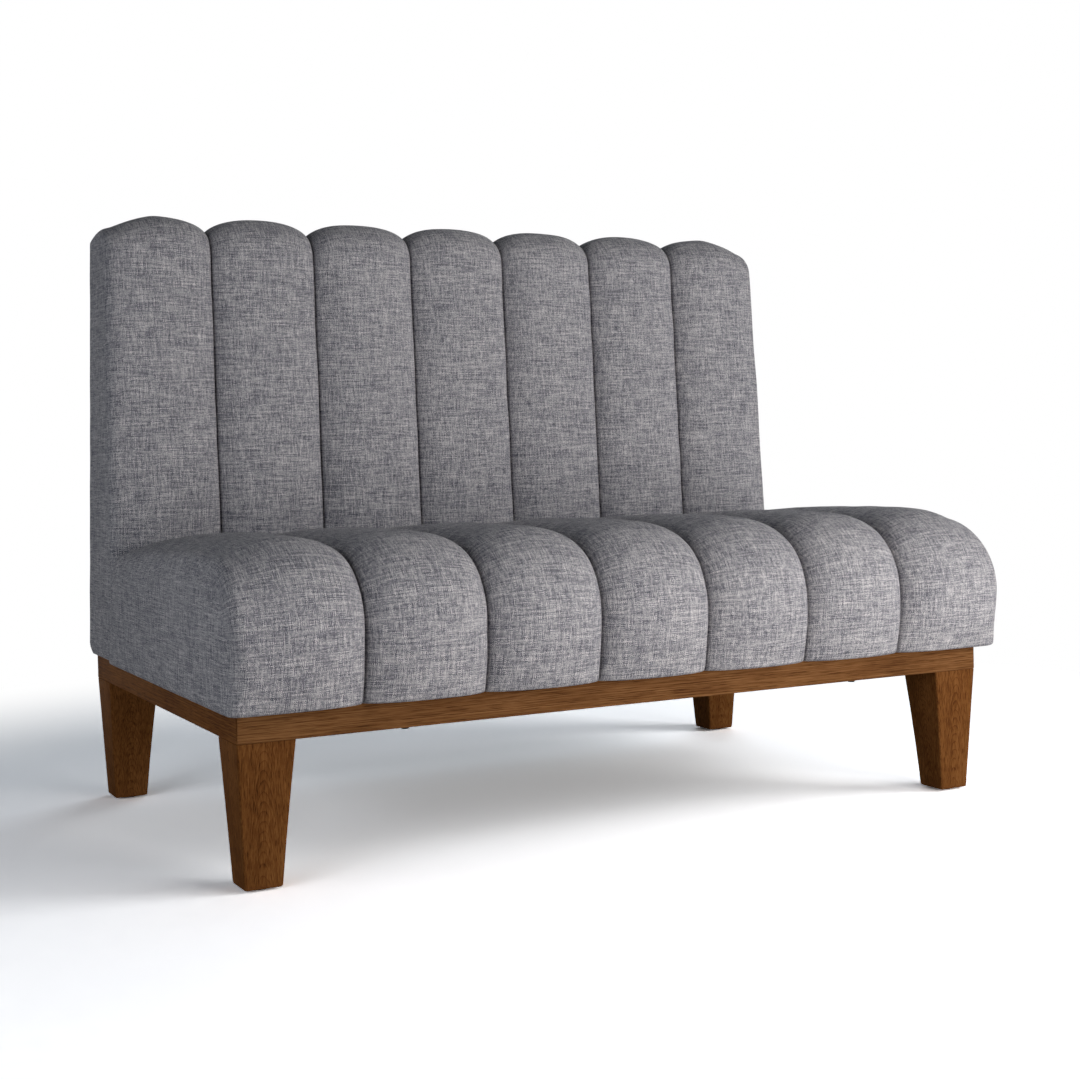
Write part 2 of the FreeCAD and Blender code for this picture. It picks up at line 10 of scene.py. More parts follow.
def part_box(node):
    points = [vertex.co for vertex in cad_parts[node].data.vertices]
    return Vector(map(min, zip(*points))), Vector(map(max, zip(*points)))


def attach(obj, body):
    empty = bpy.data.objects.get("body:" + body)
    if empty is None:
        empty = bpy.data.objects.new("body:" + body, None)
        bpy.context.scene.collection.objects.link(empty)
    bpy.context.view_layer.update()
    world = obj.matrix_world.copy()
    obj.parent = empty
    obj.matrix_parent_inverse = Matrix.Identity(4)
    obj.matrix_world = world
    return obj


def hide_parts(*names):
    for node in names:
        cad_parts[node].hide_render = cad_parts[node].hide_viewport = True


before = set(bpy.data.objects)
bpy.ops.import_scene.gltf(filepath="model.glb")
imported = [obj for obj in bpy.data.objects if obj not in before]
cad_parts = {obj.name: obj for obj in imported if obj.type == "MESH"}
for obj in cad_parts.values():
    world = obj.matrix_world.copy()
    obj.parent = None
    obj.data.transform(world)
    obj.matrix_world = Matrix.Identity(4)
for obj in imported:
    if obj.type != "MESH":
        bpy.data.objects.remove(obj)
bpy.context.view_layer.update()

# A channel-tufted bench: its covers, its wood and the studio around it.
# Sizes are in millimetres and angles in radians. Meshes, materials and the studio are in metres.

MM = 0.001
X, Y, Z = 0, 1, 2
LOW, HIGH = 0, 1


def side_of(node, end, axis):
    """A node's lowest or highest place along an axis, to a tenth of a millimetre."""
    return round(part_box(node)[end][axis] / MM, 1)


# Sizes of the construction

PITCH = side_of("seat_channel_4", HIGH, X) - side_of("seat_channel_4", LOW, X)
BOX_HALF = side_of("seat_box_front", HIGH, X)
SEAT_SIDE = side_of("seat_side_pad_right", HIGH, X)
DECK_TOP = side_of("seat_deck", HIGH, Z)
PANEL_TOP = side_of("outside_back_panel", HIGH, Z)
BASE_HALF = side_of("base_rail_right", HIGH, X)
BASE_FRONT = side_of("base_rail_front", LOW, Y)
BASE_REAR = side_of("base_rail_rear", HIGH, Y)
BASE_TOP = side_of("base_rail_front", HIGH, Z)
LEG_SIDE = side_of("leg_front_left", HIGH, X) - side_of("leg_front_left", LOW, X)
LEG_LOW = side_of("leg_front_left", LOW, Z)
LEG_HIGH = side_of("leg_front_left", HIGH, Z)

# Channels and their seams

CHANNELS = 7
MIDDLE_CHANNEL = 4
END_X = (CHANNELS - MIDDLE_CHANNEL) * PITCH
SEAM_GAP = 0.9
CLEFT_GAP, CLEFT_DEPTH = 0.35, 7.0

# Seat: reach of the cover from the front roll's centre, and Y of the lip over the base

ROLL_Y, ROLL_Z = -265.0, DECK_TOP
SEAT_SEAM, SEAT_CROWN, SEAT_FALL = 86.0, 30.0, 27.0
SEAT_FULL = SEAT_SEAM + SEAT_CROWN
SEAT_END_FRONT, SEAT_END_TOP = 110.0, 101.0
SEAT_FOOT = BASE_TOP - 2.4
LIP_SEAM, LIP_CREST = -342.0, -364.0
TUCK_IN, TUCK_WIDTH, TUCK_SAG, TUCK_REST = 1.0, 3.0, 1.2, 0.4
SEAT_DRAW_FRONT, SEAT_DRAW_TOP, SEAT_DRAW_LIP = 18, 40, 16

# Back: reach of the cover from the cap's centre

RAKE = math.atan(0.063)
REAR_LEAN = 0.031
CAP_Y, CAP_Z = 307.5, 850.0
BACK_SEAM, BACK_CROWN = 38.0, 26.0
BACK_FULL = BACK_SEAM + BACK_CROWN
BACK_TOP = 63.0
BACK_END_FRONT, BACK_END_TOP = 57.0, 43.0
REAR_SEAM, REAR_CREST, REAR_END = 29.0, 37.0, 30.0
BACK_FOOT, FACE_LOW = DECK_TOP + 0.4, DECK_TOP + 2.0
BACK_SIDE_FOOT = BASE_TOP - 1.0
BACK_SIDE = 603.5
SIDE_LEAN = 0.0107
FOLD_GAP, FOLD_IN, FOLD_DROP = 0.5, 4.0, 0.4
BACK_DRAW_FRONT, BACK_DRAW_TOP, BACK_DRAW_REAR, BACK_DROP = 19, 14, 7, 4
JOINT_REACH, JOINT_GAP = 62.4, 0.6

# Lining: the inner side of each cover, which lies on the foam, the box and the panels

LINING_SIDE = 575.0
LINING_IN = 6.0
SEAT_LINING, SEAT_LINING_LIP, SEAT_LINING_FOOT = 65.0, BASE_FRONT - 1.0, BASE_TOP + 1.5
BACK_LINING, BACK_LINING_REAR, BACK_LINING_TUCK = 24.0, 23.0, PANEL_TOP + 2.4
BACK_LINING_FOOT, BACK_SIDE_LINING_FOOT = DECK_TOP + 1.0, BASE_TOP + 0.5

SIDE_X = {"seat": SEAT_SIDE, "back": BACK_SIDE}
SIDE_ROUNDNESS = {"seat": 2.3, "back": 2.0}
SIDE_SQUEEZE = {"seat": 0.2, "back": 0.28}
FLANK_SQUEEZE = 0.2

# Numbers of rows along a section and of columns across it

SEAT_ROWS = dict(joint=2, edge=4, ridge=40, roll=20, bulge=11, lip=4)
SEAT_REAR = SEAT_ROWS["joint"] + SEAT_ROWS["edge"] // 2
SEAT_45 = SEAT_ROWS["joint"] + SEAT_ROWS["edge"] + SEAT_ROWS["ridge"] + SEAT_ROWS["roll"] // 2
BACK_ROWS = dict(low=8, face=48, cap=16, top=7, edge=4)
BACK_45 = BACK_ROWS["low"] + BACK_ROWS["face"] + BACK_ROWS["cap"] // 2
BACK_CAPPED = BACK_ROWS["low"] + BACK_ROWS["face"] + BACK_ROWS["cap"]
BACK_REAR = BACK_CAPPED + BACK_ROWS["top"] + BACK_ROWS["edge"] // 2
CHANNEL_COLUMNS, HALF_COLUMNS, FLANK_COLUMNS, SIDE_COLUMNS = 24, 12, 7, 10
COVER_COLUMNS, COVER_ROWS = 60, 36


def back_plane(reach, z):
    """Y of the raked plane that lies reach in front of the back's cap centre, at height z."""
    return CAP_Y - (reach - math.sin(RAKE) * (z - CAP_Z)) / math.cos(RAKE)


def rear_plane(z):
    """Y of the outside back at height z."""
    return BASE_REAR - REAR_LEAN * (z - BASE_TOP)


def fullness(share, flat=2.3, power=0.6):
    """How full a channel is at a share of its half width from the middle."""
    return (1 - abs(share) ** flat) ** power


def quarter(t):
    """Fall of a quarter round: 1 at t = 0 and 0 from t = 1 on."""
    t = np.clip(t, 0, 1)
    return 1 - np.sqrt(1 - (1 - t) ** 2)


# Sections of the seat and the back


def arc(centre_y, centre_z, radius, angles):
    """Y and Z of the points on a round stretch."""
    return [(centre_y + radius * math.cos(a), centre_z + radius * math.sin(a)) for a in angles]


def seat_path(front, top, lip_y, bottom, rear_reach, edge=12.0, lip=7.0, depths=(36, 20)):
    """Y and Z from the joint with the back over the top and the rolled front to the tuck below."""
    rise = ROLL_Z + top
    rear_y = back_plane(rear_reach, rise - SEAT_FALL)
    radius = ((rear_y - ROLL_Y) ** 2 + SEAT_FALL**2) / (2 * SEAT_FALL)

    def height(y):
        return rise - radius + math.sqrt(radius**2 - (y - ROLL_Y) ** 2)

    edge_y = rear_y - edge
    edge_z = height(edge_y) - edge
    points = [(rear_y, edge_z - d) for d in depths]
    n = SEAT_ROWS["edge"]
    points += arc(edge_y, edge_z, edge, [k / n * math.pi / 2 for k in range(n + 1)])
    n = SEAT_ROWS["ridge"]
    ridge = [edge_y + (ROLL_Y - edge_y) * k / n for k in range(1, n)]
    points += [(y, height(y)) for y in ridge]
    n = SEAT_ROWS["roll"]
    for k in range(n + 1):
        reach = top + (front - top) * k / n
        points += arc(ROLL_Y, ROLL_Z, reach, [math.pi / 2 * (1 + k / n)])
    n = SEAT_ROWS["bulge"]
    start_y, end_z = ROLL_Y - front, bottom + lip
    for t in (k / n for k in range(1, n + 1)):
        points.append((start_y + (lip_y - start_y) * t * t, ROLL_Z + (end_z - ROLL_Z) * t))
    n = SEAT_ROWS["lip"]
    points += arc(lip_y + lip, end_z, lip, [math.pi * (1 + k / n / 2) for k in range(1, n + 1)])
    tuck_y = max(BASE_FRONT + TUCK_IN, lip_y + lip + TUCK_WIDTH)
    points.append(((lip_y + lip + tuck_y) / 2, bottom + TUCK_SAG))
    points.append((tuck_y, BASE_TOP + TUCK_REST))
    return points


def back_path(front, top, rear_reach, low_z, drop=0.0, edge=7.0, tuck=PANEL_TOP + 1.0):
    """Y and Z from the foot of the face up the rake and over the cap to the rear edge."""
    centre = CAP_Z - drop
    high = CAP_Z + top - centre
    n = BACK_ROWS["low"]
    heights = [low_z + (FACE_LOW - low_z) * k / n for k in range(n)]
    n = BACK_ROWS["face"]
    heights += [FACE_LOW + (centre - FACE_LOW) * k / n for k in range(n)]
    points = [(back_plane(front, z), z) for z in heights]
    face_y = back_plane(front, centre)
    n = BACK_ROWS["cap"]
    for k in range(n + 1):
        a = k / n * math.pi / 2
        points.append((face_y + (CAP_Y - face_y) * (1 - math.cos(a)), centre + high * math.sin(a)))
    rear_z = CAP_Z + rear_reach
    rear_y = rear_plane(rear_z)
    n = BACK_ROWS["top"]
    for t in (k / n for k in range(1, n + 1)):
        y = CAP_Y + (rear_y - edge - CAP_Y) * t
        points.append((y, CAP_Z + top + (rear_reach - top) * t * t))
    n = BACK_ROWS["edge"]
    angles = [math.pi / 2 * (1 - k / n) for k in range(1, n + 1)]
    points += arc(rear_y - edge, rear_z - edge, edge, angles)
    last = min(tuck, rear_z - edge - FOLD_GAP)
    points.append((rear_plane(last), last))
    points.append((rear_plane(last) - FOLD_IN, last - FOLD_DROP))
    return points


def seat_lining(joint):
    """Inner side of a seat section that meets the back at the given reach."""
    inward = joint + LINING_IN
    return seat_path(
        SEAT_LINING, SEAT_LINING, SEAT_LINING_LIP, SEAT_LINING_FOOT, inward, edge=2, lip=1, depths=(2, 1)
    )


def back_lining(foot):
    """Inner side of a back section that starts at height foot."""
    return back_path(
        BACK_LINING, BACK_LINING, BACK_LINING_REAR, foot, drop=0, edge=1.5, tuck=BACK_LINING_TUCK
    )


def channel_sections(kind, full, sunk):
    """Outer and inner section of a channel, as full as given and sunk into its cleft."""
    if kind == "seat":
        reach = SEAT_SEAM + SEAT_CROWN * full - sunk
        lip = LIP_SEAM + (LIP_CREST - LIP_SEAM) * full + sunk
        joint = BACK_SEAM + BACK_CROWN * full + JOINT_GAP
        return seat_path(reach, reach, lip, SEAT_FOOT, joint), seat_lining(joint)
    reach = BACK_SEAM + BACK_CROWN * full - sunk
    rear = REAR_SEAM + (REAR_CREST - REAR_SEAM) * full
    return back_path(reach, reach, rear, BACK_FOOT), back_lining(BACK_LINING_FOOT)


def flank_sections(kind, share, top_power=1.4):
    """Sections from the end channel's middle, share 0, to the side of the box, share 1."""
    if kind == "seat":
        front = SEAT_FULL - (SEAT_FULL - SEAT_END_FRONT) * share**2
        top = SEAT_FULL - (SEAT_FULL - SEAT_END_TOP) * share**2
        return seat_path(front, top, LIP_CREST, SEAT_FOOT, JOINT_REACH), seat_lining(JOINT_REACH)
    full = 1 - share**3
    front = BACK_END_FRONT + (BACK_FULL - BACK_END_FRONT) * full
    top = BACK_TOP - (BACK_TOP - BACK_END_TOP) * share**top_power
    rear = REAR_END + (REAR_CREST - REAR_END) * full
    return back_path(front, top, rear, BACK_FOOT), back_lining(BACK_LINING_FOOT)


def side_sections(kind, inset):
    """Sections of the rounded side, from inset 0 at the box to inset 1 at the outermost place."""
    if kind == "seat":
        front = SEAT_END_FRONT - SEAT_DRAW_FRONT * inset
        top = SEAT_END_TOP - SEAT_DRAW_TOP * inset
        lip = LIP_CREST + SEAT_DRAW_LIP * inset
        return seat_path(front, top, lip, SEAT_FOOT, JOINT_REACH), seat_lining(JOINT_REACH)
    front = BACK_END_FRONT - BACK_DRAW_FRONT * inset
    top = BACK_END_TOP - BACK_DRAW_TOP * inset
    rear = REAR_END - BACK_DRAW_REAR * inset
    outer = back_path(front, top, rear, BACK_SIDE_FOOT, BACK_DROP * inset)
    return outer, back_lining(BACK_SIDE_LINING_FOOT)


# Surfaces of the upholstered pieces


def spread(count, low=-1.0, high=1.0):
    """Shares across a channel, closer together towards its seams."""
    return [math.sin(math.pi / 2 * (low + (high - low) * k / count)) for k in range(count + 1)]


def column_array(columns):
    """Columns of (x, path) as an array [column, row, xyz]."""
    return np.array([[(x, y, z) for y, z in path] for x, path in columns], float)


def channel_columns(kind, middle_x, shares):
    """Outer and inner columns of a channel between its seams."""
    stations = [(s, SEAM_GAP, 0.0) for s in shares]
    stations.insert(0, (-1.0, CLEFT_GAP, CLEFT_DEPTH))
    if shares[-1] == 1.0:
        stations.append((1.0, CLEFT_GAP, CLEFT_DEPTH))
    outer, inner = [], []
    for share, gap, sunk in stations:
        x = middle_x + share * (PITCH / 2 - gap)
        skin, lining = channel_sections(kind, fullness(share), sunk)
        outer.append((x, skin))
        inner.append((x, lining))
    return outer, inner


def end_columns(kind):
    """Outer and inner columns of the right-hand end, from its only seam to its side."""
    outer, inner = channel_columns(kind, END_X, spread(HALF_COLUMNS, -1.0, 0.0))

    def add(x, sections, squeeze):
        skin, lining = sections
        outer.append((x, skin))
        inner.append((x if x < LINING_SIDE else LINING_SIDE + (x - LINING_SIDE) * squeeze, lining))

    for k in range(1, FLANK_COLUMNS + 1):
        share = k / FLANK_COLUMNS
        x = END_X + share * (BOX_HALF - END_X)
        add(x, flank_sections(kind, share), FLANK_SQUEEZE)
    power = 2 / SIDE_ROUNDNESS[kind]
    for k in range(1, SIDE_COLUMNS + 1):
        a = k / SIDE_COLUMNS * math.pi / 2
        x = BOX_HALF + (SIDE_X[kind] - BOX_HALF) * math.sin(a) ** power
        inset = 1 - max(math.cos(a), 0) ** power
        add(x, side_sections(kind, inset), SIDE_SQUEEZE[kind])
    return outer, inner


def side_patch(edge, top_rows, front_rows, rear_y):
    """Face that closes an end: between its top rows, its front rows, its bottom and its rear."""
    top = edge[top_rows]
    front = edge[front_rows]
    progress = (top[:, 1] - top[0, 1]) / (top[-1, 1] - top[0, 1])
    drop = (front[:, 2] - front[-1, 2]) / (front[0, 2] - front[-1, 2])
    bottom_z = front[-1, 2]
    heel = np.array([front[-1, 0], rear_y(bottom_z), bottom_z])
    bottom = front[-1] + (heel - front[-1]) * progress[:, None]
    rear = np.empty((len(front_rows), 3))
    rear[:, 2] = bottom_z + (top[-1, 2] - bottom_z) * drop
    shift = top[-1, 1] - rear_y(top[-1, 2])
    rear[:, 1] = [rear_y(z) + shift * d**6 for z, d in zip(rear[:, 2], drop)]
    rear[:, 0] = front[:, 0]
    a = progress[:, None, None]
    b = (1 - drop)[None, :, None]
    patch = (1 - b) * top[:, None] + b * bottom[:, None] + (1 - a) * front[None] + a * rear[None]
    corners = (1 - a) * (1 - b) * top[0] + a * (1 - b) * top[-1] + (1 - a) * b * front[-1] + a * b * heel
    return patch - corners


SKIN_FACE, SIDE_FACE, HIDDEN_FACE = 0, 1, 2


class Surface:
    """Open quad surface with twin inner points, later closed into one solid piece."""

    def __init__(self, outer, inner):
        self.outer = outer.reshape(-1, 3)
        self.inner = inner.reshape(-1, 3)
        columns, rows = outer.shape[:2]
        self.index = np.arange(columns * rows).reshape(columns, rows)
        self.faces = []
        self.kinds = []
        self.add_faces(self.index, SKIN_FACE)
        across, along = outer[:, rows // 2], outer[columns // 2]
        u, v = (
            np.concatenate([[0], np.cumsum(np.linalg.norm(np.diff(line, axis=0), axis=1))])
            for line in (across, along)
        )
        self.uv = np.stack(np.meshgrid(u, v, indexing="ij"), -1).reshape(-1, 2)

    def add_faces(self, ids, kind):
        """Adds the quads of a grid of point numbers."""
        for i in range(ids.shape[0] - 1):
            for j in range(ids.shape[1] - 1):
                self.faces.append((ids[i, j], ids[i + 1, j], ids[i + 1, j + 1], ids[i, j + 1]))
                self.kinds.append(kind)

    def add_side(self, outer, inner, top_rows, front_rows):
        """Adds a side patch whose first column and first row are already there."""
        columns, rows = outer.shape[:2]
        ids = np.full((columns, rows), -1)
        last = self.index[-1]
        ids[:, 0] = last[top_rows]
        ids[0, :] = last[front_rows]
        fresh = [(i, j) for i in range(1, columns) for j in range(1, rows)]
        for n, (i, j) in enumerate(fresh):
            ids[i, j] = len(self.outer) + n
        self.outer = np.concatenate([self.outer, [outer[i, j] for i, j in fresh]])
        self.inner = np.concatenate([self.inner, [inner[i, j] for i, j in fresh]])
        self.add_faces(ids, SIDE_FACE)
        self.uv = np.concatenate([self.uv, np.zeros((len(fresh), 2))])

    def boundary(self):
        """Open edges of the surface."""
        count = {}
        for f in self.faces:
            for k in range(4):
                a, b = f[k], f[(k + 1) % 4]
                key = (min(a, b), max(a, b))
                count[key] = count.get(key, 0) + 1
        return [e for e, n in count.items() if n == 1]


SEAT_HEEL_REACH, SEAT_HEEL_TOP = 36, 340
SEAT_EASE = dict(foot=BASE_TOP - 2, foot_depth=3, foot_reach=9, rear_depth=5, rear_reach=8)
BACK_EASE = dict(foot=BACK_SIDE_FOOT, foot_depth=6, foot_reach=12, rear_depth=3.5, rear_reach=5)


def seat_heel(z):
    """Y of the rear edge of the seat's side pad at height z."""
    share = np.clip((SEAT_HEEL_TOP - z) / (SEAT_HEEL_TOP - BASE_TOP), 0, 1)
    return back_plane(JOINT_REACH, z) + SEAT_HEEL_REACH * share


def round_off(points, kind):
    """Draws the side in along the end's bottom and rear edges."""
    x, y, z = points.T
    w = np.clip((x - LINING_SIDE) / (SIDE_X[kind] - LINING_SIDE), 0, 1)
    if kind == "seat":
        ease, rear_y = SEAT_EASE, seat_heel(z)
    else:
        ease, rear_y = BACK_EASE, rear_plane(z)
        x -= SIDE_LEAN * w * (z - BASE_TOP)
    bottom = ease["foot_depth"] * quarter((z - ease["foot"]) / ease["foot_reach"])
    rear = ease["rear_depth"] * quarter((rear_y - y) / ease["rear_reach"])
    x -= w * np.maximum(bottom, rear)


def make_end_surface(kind):
    """Right-hand end channel and side pad as one soft surface."""
    outer, inner = (column_array(c) for c in end_columns(kind))
    surface = Surface(outer, inner)
    if kind == "seat":
        top_rows = list(range(SEAT_45, SEAT_REAR - 1, -1))
        front_rows = list(range(SEAT_45, outer.shape[1]))
        rear = seat_heel
        rear_in = lambda z: back_plane(JOINT_REACH + LINING_IN, z)
    else:
        top_rows = list(range(BACK_45, BACK_REAR + 1))
        front_rows = list(range(BACK_45, -1, -1))
        rear = rear_plane
        rear_in = lambda z: rear_plane(z) - LINING_IN
    side = side_patch(outer[-1], top_rows, front_rows, rear)
    side_in = side_patch(inner[-1], top_rows, front_rows, rear_in)
    surface.add_side(side, side_in, top_rows, front_rows)
    round_off(surface.outer, kind)
    return surface


# Meshes of the upholstered pieces


def ripple(points, seed, size=0.5, waves=14, lengths=(55, 190)):
    """Small smooth unevenness of stuffing, the same on every run."""
    rng = np.random.default_rng(seed)
    total = np.zeros(len(points))
    for _ in range(waves):
        direction = rng.normal(size=3)
        direction /= np.linalg.norm(direction)
        length = rng.uniform(*lengths)
        total += np.sin(points @ direction * (2 * math.pi / length) + rng.uniform(0, 2 * math.pi))
    return total * size / 3.0


def read_values(items, name, width=3, kind=float):
    """Values of a mesh's vertices, edges or loops as an array with a row for each."""
    values = np.empty(len(items) * width, kind)
    items.foreach_get(name, values)
    return values.reshape(-1, width)


def read_points(obj):
    """Vertex places of a mesh, in millimetres."""
    return read_values(obj.data.vertices, "co") / MM


def write_points(obj, points):
    """Sets the vertex places of a mesh, given in millimetres."""
    obj.data.vertices.foreach_set("co", (points * MM).ravel())
    obj.data.update()


def add_object(name, data):
    """New object in the scene that shows the given data."""
    obj = bpy.data.objects.new(name, data)
    bpy.context.scene.collection.objects.link(obj)
    return obj


def crease_rim(mesh, rim):
    """Turns the faces outwards and keeps the rim's edges sharp."""
    bm = bmesh.new()
    bm.from_mesh(mesh)
    bmesh.ops.recalc_face_normals(bm, faces=bm.faces)
    crease = bm.edges.layers.float.new("crease_edge")
    for e in bm.edges:
        if tuple(sorted((e.verts[0].index, e.verts[1].index))) in rim:
            e[crease] = 1.0
            e.smooth = False
    bm.to_mesh(mesh)
    bm.free()


def lay_threads(mesh, points, grid_uv, kinds, seed):
    """Thread directions: along the skin's grid, and flat on its side and rim, from a seeded start."""
    offset = np.random.default_rng(seed).uniform(0, 3, 2)
    layer = mesh.uv_layers.new(name="thread")
    loops = read_values(mesh.loops, "vertex_index", 1, int)[:, 0]
    kind = np.repeat(kinds, [len(p.vertices) for p in mesh.polygons])[:, None]
    x, y, z = points[loops].T
    side_uv = np.stack([y, z], 1) * MM
    rim_uv = np.stack([x, y + z], 1) * MM
    uv = np.where(kind == SIDE_FACE, side_uv, grid_uv[loops] * MM)
    uv = np.where(kind == HIDDEN_FACE, rim_uv, uv) + offset
    layer.data.foreach_set("uv", uv.ravel())


def make_piece(name, surface, mirror, material, seed):
    """Closed piece from a surface: its outer skin, its inner side and the strip between them."""
    n = len(surface.outer)
    points = np.concatenate([surface.outer, surface.inner])
    faces = [tuple(int(v) for v in f) for f in surface.faces]
    faces += [tuple(int(v) + n for v in f[::-1]) for f in surface.faces]
    edges = [(int(a), int(b)) for a, b in surface.boundary()]
    faces += [(a, b, b + n, a + n) for a, b in edges]
    kinds = surface.kinds + [HIDDEN_FACE] * (len(surface.kinds) + len(edges))
    if mirror:
        points = points * [-1, 1, 1]
    mesh = bpy.data.meshes.new(name)
    mesh.from_pydata((points * MM).tolist(), [], faces)
    crease_rim(mesh, {tuple(sorted(e)) for e in edges})
    lay_threads(mesh, points, np.concatenate([surface.uv, surface.uv]), np.array(kinds), seed)
    mesh.polygons.foreach_set("use_smooth", [True] * len(mesh.polygons))
    mesh.materials.append(material)
    return add_object(name, mesh)


def subdivide(obj, rendered):
    """Smooths a piece once, or in the render as often as asked."""
    smoothing = obj.modifiers.new("Subdivision", "SUBSURF")
    smoothing.levels = 1
    smoothing.render_levels = rendered


def soften(obj, chosen, rounds=2):
    """Evens out the chosen points of a mesh, half way to their neighbours' mean in each round."""
    mesh = obj.data
    co = read_values(mesh.vertices, "co")
    ends = read_values(mesh.edges, "vertices", 2, int)
    degree = np.bincount(ends.ravel(), minlength=len(co))[:, None]
    for _ in range(rounds):
        total = np.zeros_like(co)
        np.add.at(total, ends[:, 0], co[ends[:, 1]])
        np.add.at(total, ends[:, 1], co[ends[:, 0]])
        co[chosen] += 0.5 * (total / degree - co)[chosen]
    mesh.vertices.foreach_set("co", co.ravel())


# Cloth: how the covers swell between their sewn edges

SWELL_FRAMES = 20
SWELL_CAP = {"seat": 2.6, "back": 4.5}
CLOTH = dict(
    quality=5,
    mass=0.3,
    tension_stiffness=18,
    compression_stiffness=18,
    shear_stiffness=8,
    bending_stiffness=1.5,
    use_pressure=True,
    uniform_pressure_force=4.0,
    vertex_group_mass="sewn",
)


def swell(jobs):
    """Lets the covers swell as cloth under pressure, up to a cap, and keeps the result."""
    scene = bpy.context.scene
    for obj, held, _ in jobs:
        group = obj.vertex_groups.new(name="sewn")
        group.add([int(i) for i in np.flatnonzero(held)], 1.0, "REPLACE")
        cloth = obj.modifiers.new("Cloth", "CLOTH")
        for setting, value in CLOTH.items():
            setattr(cloth.settings, setting, value)
        cloth.settings.effector_weights.gravity = 0
        cloth.collision_settings.use_collision = False
        cloth.point_cache.frame_start = 1
        cloth.point_cache.frame_end = SWELL_FRAMES
    for f in range(1, SWELL_FRAMES + 1):
        scene.frame_set(f)
    graph = bpy.context.evaluated_depsgraph_get()
    results = []
    for obj, _, cap in jobs:
        rest = read_values(obj.data.vertices, "co")
        move = read_values(obj.evaluated_get(graph).data.vertices, "co") - rest
        size = np.linalg.norm(move, axis=1, keepdims=True)
        limit = cap * MM
        move *= limit * np.tanh(size / limit) / np.maximum(size, 1e-9)
        results.append((obj, rest + move))
    for obj, co in results:
        obj.modifiers.remove(obj.modifiers["Cloth"])
        obj.vertex_groups.clear()
        obj.data.vertices.foreach_set("co", co.ravel())
        obj.data.update()
    scene.frame_set(1)


# Cushions: every channel, the two outer ones with their side pads

Cushion = namedtuple("Cushion", "obj held kind middle_x end mirror")

HELD_JOINT, HELD_FOOT = 9, 4
SEAT_CONTACT_Z, SEAT_CONTACT_X = 392, 590
SOFT_SIDE, SOFT_SEAT_Y, SOFT_BACK_Z = 565, -190, 780
FAR = 1000.0


def sewn_points(kind, points, surface):
    """Which points stay in place: the inner side, the rim, the joint and the foot."""
    n = len(surface.outer)
    held = np.ones(2 * n, bool)
    held[:n] = False
    for e in surface.boundary():
        held[list(e)] = True
    x, y, z = points[:n].T
    if kind == "seat":
        held[:n] |= seat_heel(z) - y < HELD_JOINT
    else:
        held[:n] |= (z < SEAT_CONTACT_Z) & (abs(x) < SEAT_CONTACT_X)
    held[:n] |= z < BASE_TOP + HELD_FOOT
    return held


def make_cushion(kind, number, material):
    """One channel of the seat or the back as it is before it swells."""
    mirror = number == 1
    end = number in (1, CHANNELS)
    middle_x = (number - MIDDLE_CHANNEL) * PITCH
    if end:
        surface = make_end_surface(kind)
    else:
        columns = channel_columns(kind, middle_x, spread(CHANNEL_COLUMNS))
        surface = Surface(*(column_array(c) for c in columns))
    seed = 10 * number + (5 if kind == "back" else 0)
    obj = make_piece("%s_cushion_%d" % (kind, number), surface, mirror, material, seed)
    points = read_points(obj)
    held = sewn_points(kind, points, surface)
    if end:
        corner = points[:, 1] < SOFT_SEAT_Y if kind == "seat" else points[:, 2] > SOFT_BACK_Z
        soften(obj, ~held & (abs(points[:, 0]) > SOFT_SIDE) & corner)
    points = read_points(obj)
    normals = read_values(obj.data.vertices, "normal")
    bump = ripple(points, seed) * ~held
    write_points(obj, points + normals * bump[:, None])
    nodes = ["%s_channel_%d" % (kind, number)]
    if end:
        nodes.append("%s_side_pad_%s" % (kind, "left" if mirror else "right"))
    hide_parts(*nodes)
    return Cushion(obj, held, kind, middle_x, end, mirror)


def finish_cushion(cushion):
    """Keeps a swollen cushion between its seams and smooths it."""
    obj = cushion.obj
    low = cushion.middle_x - PITCH / 2 + SEAM_GAP
    high = cushion.middle_x + PITCH / 2 - SEAM_GAP
    if cushion.end and cushion.mirror:
        low = -FAR
    elif cushion.end:
        high = FAR
    points = read_points(obj)
    loose = ~cushion.held
    points[loose, 0] = np.clip(points[loose, 0], low, high)
    write_points(obj, points)
    subdivide(obj, rendered=1)
    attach(obj, "root")


def upholster(material):
    """Every channel and end of the seat and the back."""
    cushions = []
    for kind in ("seat", "back"):
        for number in range(1, CHANNELS + 1):
            cushions.append(make_cushion(kind, number, material))
    swell([(c.obj, c.held, SWELL_CAP[c.kind]) for c in cushions])
    for cushion in cushions:
        finish_cushion(cushion)


COVER_SEED = 91
COVER_OVERLAP = 2.0
COVER_LOW, COVER_HIGH = BASE_TOP + 0.6, PANEL_TOP - 0.4
COVER_EDGE_DEPTH, COVER_EDGE_REACH = 2.6, 6
COVER_BELLY, COVER_BELLY_REACH = 2.2, 160
COVER_LINING = 4.95
COVER_RIPPLE, COVER_RIPPLE_REACH, COVER_SINK = 0.35, 60, 0.3


